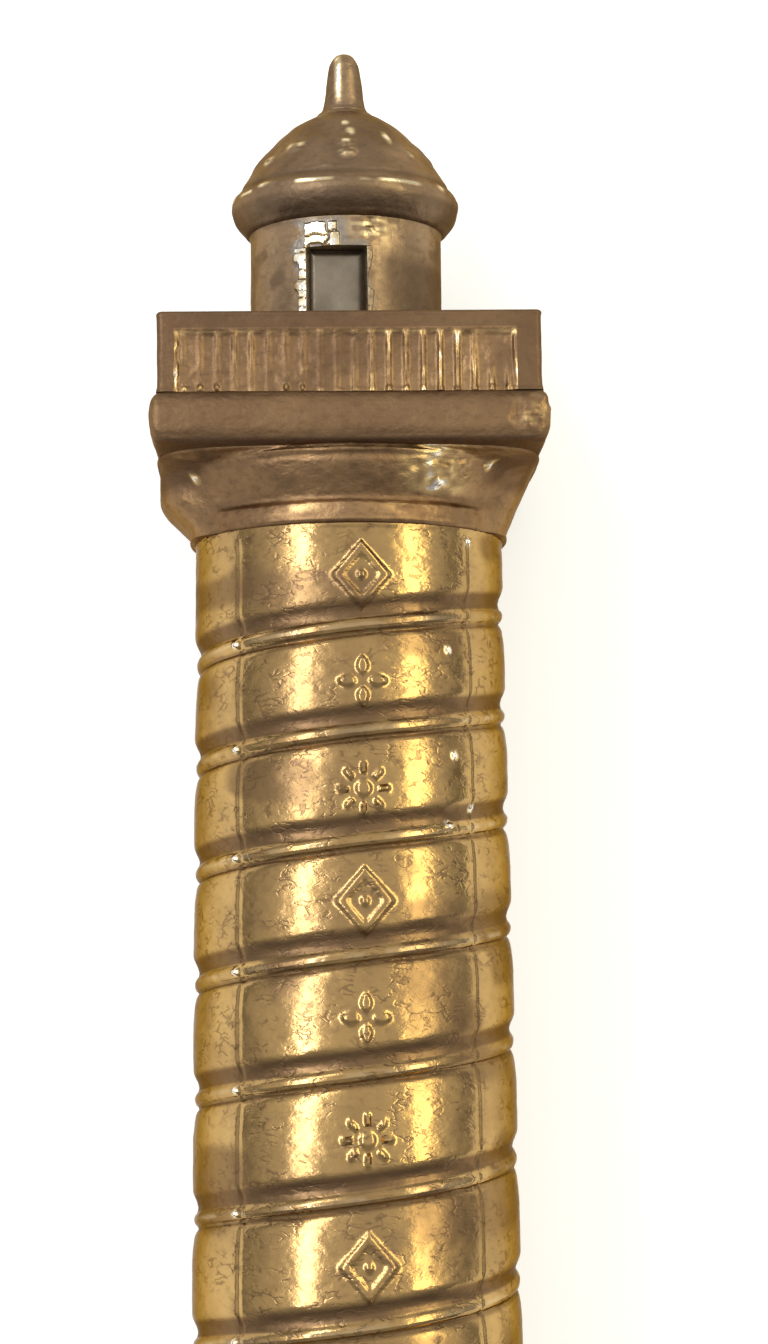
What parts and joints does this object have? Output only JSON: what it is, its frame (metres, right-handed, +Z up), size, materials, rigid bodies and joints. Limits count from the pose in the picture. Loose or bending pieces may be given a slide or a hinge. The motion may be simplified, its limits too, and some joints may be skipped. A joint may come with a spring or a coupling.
{
  "type": "bottle opener",
  "caption": "Bottle opener with a brass monument-column handle, domed lantern and square balcony at one end, and a flat steel opener head with a lifting lip at the other.",
  "frame": {"origin": "on the surface that the opener lies on, under the middle of its length and width", "axes": "+Y along the column from the opener head to the finial, +Z up out of the front of the column, with the lantern's door on it, and +X to the right as the front is seen"},
  "size_m": [0.038, 0.125, 0.0186],
  "materials": {
    "cast_brass": "rough-cast brass, polished on the high places and dulled brown in the hollows",
    "grey_metal": "dull grey, with bright worn edges",
    "plated_steel": "nickel-plated, satin, with fine wear marks",
    "plain_steel": "plain turned rod, hidden inside"
  },
  "bodies": {
    "root": {"finial": "cast_brass", "dome": "cast_brass", "lantern_drum": "cast_brass", "lantern_door": "grey_metal", "balcony_parapet": "cast_brass", "balcony_deck": "cast_brass", "capital": "cast_brass", "spiral_shaft": "cast_brass", "base_ring": "cast_brass", "plinth": "cast_brass", "opener_blade": "plated_steel", "tie_rod": "plain_steel", "blade_rivet_left": "cast_brass", "blade_rivet_right": "cast_brass"}
  },
  "joints": []
}
